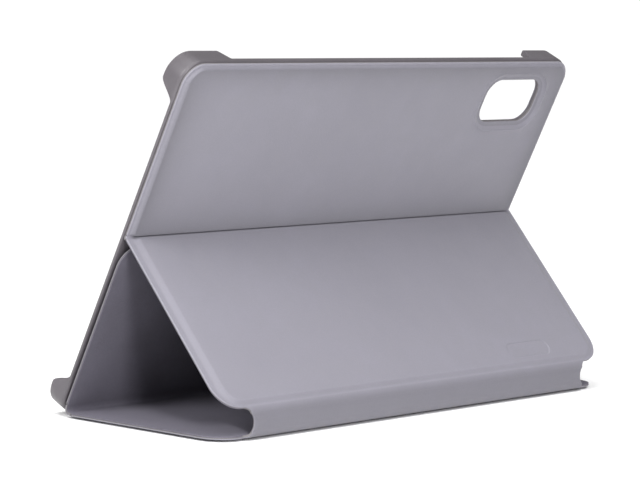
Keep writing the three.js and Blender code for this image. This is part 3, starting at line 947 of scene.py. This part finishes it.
def rear_cover():
    solid = Solid(tray)
    top_w = PANEL + REAR_LIFT
    edge = box_outline(
        -LENGTH / 2 + REAR_INSET, LENGTH / 2 - REAR_INSET, CREASE_HEIGHT + CREASE_MARGIN,
        TRAY_HEIGHT - REAR_INSET, [CREASE_CORNER, CREASE_CORNER] + [TRAY_CORNER - REAR_INSET] * 2,
    )
    foot = pad_outline("foot", CREASE_HEIGHT, TRAY_HEIGHT, PAD_MID, REAR_TOP, REAR_SIDE)
    top = pad_outline("top", CREASE_HEIGHT, TRAY_HEIGHT, PAD_MID, REAR_TOP, REAR_SIDE)
    rings = [(outline_points(shrink(top, SUPPORT)), top_w, 0.0)]
    rings += border_rings(foot, top, THICK["flange"], top_w)
    rings += edge_rings(edge, GLUE, THICK["flange"], False, True)
    leather = len(rings) - 1 - RAW_BANDS
    rings += recess_rings(top, GLUE, top_w - SKIN_WALL)
    outer = solid.loft(rings, [0] * leather + [1] * (len(rings) - leather))
    rings, leather = window_rings(top_w)
    hole = solid.loft(rings, [0] * leather + [1] * (len(rings) - leather))
    # painted shade on the window's land and the rounding into the hole
    for ring in hole[WINDOW_STEPS - 1:WINDOW_STEPS + ROUND_STEPS]:
        for vert in ring:
            vert[solid.painted_shade] = WINDOW_PAINTED_SHADE
    solid.face_grid([outer[0], hole[0]], top_w)
    # the dish also paints shade near the upper back's edge
    solid.crown(top, THICK["flange"], top_w, -REAR_DISH, DISH_REACH)
    solid.fill([outer[-1], hole[-1]], 1)
    return solid.finish("rear_cover", [LEATHER, CUT_EDGE])


dress(rear_cover(), "shell", "leather_skin", "rear_skin")


# ---- Tray with four corner grips ----
def grip_height(x, u):
    """Height of the tray's wall at a point of its outline: full at the corners, low between them."""
    across, along = LENGTH / 2 - abs(x), TRAY_HEIGHT / 2 - abs(u - TRAY_HEIGHT / 2)
    reaches = ((across, GRIP_LONG), (along, GRIP_SHORT))
    heights = []
    for reach, grip in reaches:
        rise = smooth((grip["end"] - reach) / (grip["end"] - grip["full"]))
        heights.append(grip["wall"] + (TRAY_DEPTH - grip["wall"]) * rise)
    return min(heights)


def wall_stops(length, grip):
    """Stops from one corner arc to the next, close together along the slopes of the two grips."""
    half = length / 2 - TRAY_CORNER
    slope_start = min(length / 2 - grip["full"] + 0.6, half)
    slope_end = length / 2 - grip["end"] - 0.6
    stops = [half + (slope_start - half) * i / 4 for i in range(1, 4)] if slope_start < half else []
    stops += [slope_start + (slope_end - slope_start) * i / GRIP_STEPS for i in range(GRIP_STEPS + 1)]
    middle = [slope_end * (1 - i / WALL_STEPS) for i in range(1, WALL_STEPS)]
    stops = [stop for stop in stops if stop < half] + middle
    return stops + [0] + [-stop for stop in reversed(stops)]


def tray_stations():
    """Points round the tray: (centre x, centre u, direction of the wall, height of the wall)."""
    half_x = LENGTH / 2 - TRAY_CORNER
    half_u = TRAY_HEIGHT / 2 - TRAY_CORNER
    middle = TRAY_HEIGHT / 2
    along_x = wall_stops(LENGTH, GRIP_LONG)
    along_u = wall_stops(TRAY_HEIGHT, GRIP_SHORT)
    sides = [
        (-1, -1, [(-x, -half_u) for x in along_x]),
        (1, -1, [(half_x, -u) for u in along_u]),
        (1, 1, [(x, half_u) for x in along_x]),
        (-1, 1, [(-half_x, u) for u in along_u]),
    ]
    stations = []
    for turn, (side_x, side_u, straight) in enumerate(sides):
        begin = math.pi * (1 + 0.5 * turn)
        spots = []
        for i in range(CORNER_STEPS + 1):
            angle = begin + 0.5 * math.pi * i / CORNER_STEPS
            spots.append((side_x * half_x, side_u * half_u, angle))
        spots += [(x, u, begin + 0.5 * math.pi) for x, u in straight]
        for x, u, angle in spots:
            dx, du = math.cos(angle), math.sin(angle)
            height = grip_height(x + TRAY_CORNER * dx, middle + u + TRAY_CORNER * du)
            stations.append((x, middle + u, dx, du, height))
    return stations


def tray_profile(height):
    """(inset, depth, rim) from the back's outer face, round the wall and its lip, to the floor."""
    grow = smooth((height - 2 * TRAY_BACK) / (TRAY_DEPTH - 2 * TRAY_BACK))
    back_round = min(BACK_ROUND, 0.5 * height)
    rim_round = min(RIM_ROUND, 0.3 * height)
    inner = TRAY_WALL + LIP_OVERHANG * grow
    lip = min(LIP_THICKNESS, 0.4 * (height - TRAY_BACK)) + TINY
    lip_edge = 0.3 * lip
    under = height - lip - TINY - 0.5 * LIP_OVERHANG * grow  # where the lip's slope meets the wall
    fillet = min(FLOOR_FILLET, 0.6 * (under - TRAY_BACK))
    points = [(BACK_LAND, 0, 0.0), (BACK_EDGE, 0, 0.1)]
    for i in range(1, PROFILE_STEPS + 1):
        angle = 0.5 * math.pi * i / PROFILE_STEPS
        inset = BACK_ROUND_WIDTH * (1 - math.sin(angle))
        points.append((inset, back_round * (1 - math.cos(angle)), 0.35))
    points.append((0.0, 0.5 * (back_round + height - rim_round), 0.0))
    for i in range(PROFILE_STEPS + 1):
        angle = 0.5 * math.pi * i / PROFILE_STEPS
        inset = rim_round * (1 - math.cos(angle))
        points.append((inset, height - rim_round * (1 - math.sin(angle)), 0.8))
    points += [
        (inner - lip_edge, height, 0.5), (inner, height - lip_edge, 0.6),
        (inner, height - 0.75 * lip, 0.2),
        (inner - 0.3 * LIP_OVERHANG * grow - 0.01, height - lip, 0.0),
        (TRAY_WALL - TINY, under, 0.0), (TRAY_WALL, TRAY_BACK + fillet, 0.0),
        (TRAY_WALL + 0.4 * fillet, TRAY_BACK + 0.3 * fillet, 0.0),
        (TRAY_WALL + 1.2 * fillet + 0.05, TRAY_BACK, 0.0),
        (TRAY_WALL + FLOOR_LAND, TRAY_BACK, 0.0),
    ]
    return points


def back_tray():
    solid = Solid(tray)
    stations = tray_stations()
    profiles = [tray_profile(station[4]) for station in stations]
    rings = []
    for level in range(len(profiles[0])):
        ring = []
        for (cx, cu, dx, du, _), profile in zip(stations, profiles):
            inset, depth, rim = profile[level]
            reach = TRAY_CORNER - inset
            vert = solid.bm.verts.new(tray.at(cx + dx * reach, cu + du * reach, -depth))
            vert[solid.rim] = rim
            ring.append(vert)
        rings.append(ring)
    for a, b in zip(rings, rings[1:]):
        solid.bridge(a, b)
    hole = solid.loft([
        (window_points(HOLE_LAND), 0, 0.0), (window_points(HOLE_CHAMFER), 0, 0.4),
        (window_points(0), -HOLE_CHAMFER, 0.4), (window_points(0), HOLE_BACK - TRAY_BACK, 0.4),
        (window_points(HOLE_BACK), -TRAY_BACK, 0.4), (window_points(HOLE_LAND), -TRAY_BACK, 0.0),
    ])
    pockets = []
    magnet_u = CREASE_HEIGHT - MAGNET["from_mid"]
    for x in (-MAGNET["x"], MAGNET["x"]):
        half, height = MAGNET["width"] / 2 + GLUE, MAGNET["height"] / 2 + GLUE
        shape = outline_points(box_outline(
            x - half, x + half, magnet_u - height, magnet_u + height, [POCKET_CORNER] * 4,
        ), POCKET_STEPS, POCKET_STEPS)
        pocket = solid.loft([(shape, -TRAY_BACK, 0.0), (shape, -POCKET_DEPTH, 0.0)])
        solid.cap(pocket[-1])
        pockets.append(pocket[0])
    solid.fill([rings[0], hole[0]])
    solid.fill([rings[-1], hole[-1]] + pockets)
    return solid.finish("back_tray", [PLASTIC], TRAY_SHARP)


dress(back_tray(), "shell", "tray_plastic", "back_shell")

bed_edge = panel_outline(0, TRAY_HEIGHT, [TRAY_CORNER] * 4)
bed_edge = shrink(bed_edge, TRAY_WALL)
bed_fabric = lining_sheet(
    "bed_fabric", tray, bed_edge, -seat_depth, -TRAY_BACK - GLUE, (True, True), [shrink(window, -0.4)],
)
dress(bed_fabric, "shell", "lining", "tray_lining")

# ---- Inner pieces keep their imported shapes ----
for name, node in frame["nodes"].items():
    if name.endswith("_board"):
        finish, slot = BOARD, "board"
    elif "magnet" in name:
        finish, slot = NICKEL, "magnet"
    else:
        continue
    node.data.materials.clear()
    node.data.materials.append(finish)


# ---- Stage, light and camera ----
FLOOR_RADIUS, FLOOR_SIDES = 6000, 64
HORIZON, OVERHEAD = 1.05, 0.36  # the sky's brightness at the horizon and above it
HORIZON_FADE = (0.02, 0.14)
SHADED_SIDE, SHADED_SHARE = (0.67, -0.74, 0), 0.42
SIDE_FADE = (0.15, 0.8)
SUN = {"toward": (-0.15, -0.3, 1), "spread": 60, "power": 2.5}
KEY = {"at": (-0.62, -1.0, 0.4), "toward": (-0.05, 0, 0.05), "size": 0.2, "power": 7.5}
SIDE = {"at": (-0.85, -0.05, 0.62), "toward": (-0.1, 0, 0.03), "size": 0.4, "power": 6}
AZIMUTH, ELEVATION, ROLL = (math.radians(v) for v in (-47.79, 5.15, 1.14))
DISTANCE = 1224.5 * MM
TARGET = Vector((-20.1, 0, 72.2)) * MM
LENS = 154.8


def stage_floor():
    solid = Solid(table)
    turns = [2 * math.pi * i / FLOOR_SIDES for i in range(FLOOR_SIDES)]
    solid.cap(solid.ring([(FLOOR_RADIUS * math.cos(a), FLOOR_RADIUS * math.sin(a)) for a in turns], 0))
    floor = solid.finish("studio_floor", [floor_material()])


def world_light():
    """An even studio sky: bright round the horizon, dimmer overhead and towards the shaded side."""
    world = bpy.data.worlds.new("studio")
    bpy.context.scene.world = world
    world.use_nodes = True
    tree = world.node_tree

    def fade(value, source, result):
        made = tree.nodes.new("ShaderNodeMapRange")
        ends = ("From Min", "From Max", "To Min", "To Max")
        for socket, number in zip(ends, source + result):
            made.inputs[socket].default_value = number
        tree.links.new(value, made.inputs["Value"])
        return made.outputs["Result"]
    direction = tree.nodes.new("ShaderNodeTexCoord").outputs["Generated"]
    height = tree.nodes.new("ShaderNodeSeparateXYZ")
    tree.links.new(direction, height.inputs[0])
    turned = tree.nodes.new("ShaderNodeVectorMath")
    turned.operation = "DOT_PRODUCT"
    tree.links.new(direction, turned.inputs[0])
    turned.inputs[1].default_value = SHADED_SIDE
    background = tree.nodes["Background"]
    level = fade(height.outputs["Z"], HORIZON_FADE, (HORIZON, OVERHEAD))
    tree.links.new(level, background.inputs["Color"])
    shade = fade(turned.outputs["Value"], SIDE_FADE, (1, SHADED_SHARE))
    tree.links.new(shade, background.inputs["Strength"])


def soft_sun(name, toward, spread, power):
    """A broad, distant softbox: it lights the floor evenly all the way back."""
    data = bpy.data.lights.new(name, "SUN")
    data.angle = math.radians(spread)
    data.energy = power
    place_object(name, data).rotation_euler = (-Vector(toward)).to_track_quat("-Z", "Y").to_euler()


def area_light(name, at, toward, size, power):
    data = bpy.data.lights.new(name, "AREA")
    data.shape = "RECTANGLE"
    data.size = data.size_y = size
    data.energy = power
    lamp = place_object(name, data, at)
    lamp.rotation_euler = (Vector(toward) - Vector(at)).to_track_quat("-Z", "Y").to_euler()


def photo_camera():
    flat = math.cos(ELEVATION)
    back = Vector((math.sin(AZIMUTH) * flat, -math.cos(AZIMUTH) * flat, math.sin(ELEVATION)))
    right = (-back).cross(Vector((0, 0, 1))).normalized()
    up = right.cross(-back)
    rolled_right = right * math.cos(ROLL) + up * math.sin(ROLL)
    rolled_up = up * math.cos(ROLL) - right * math.sin(ROLL)
    data = bpy.data.cameras.new("camera")
    data.lens = LENS
    data.sensor_width = 36
    data.clip_start, data.clip_end = 0.05, 40
    camera = place_object("camera", data)
    turn = Matrix((rolled_right, rolled_up, back)).transposed().to_4x4()
    camera.matrix_world = Matrix.Translation(TARGET + back * DISTANCE) @ turn
    bpy.context.scene.camera = camera


stage_floor()
world_light()
soft_sun("overhead", **SUN)
area_light("key", **KEY)
area_light("side", **SIDE)
photo_camera()
bpy.context.scene.view_settings.view_transform = "Standard"
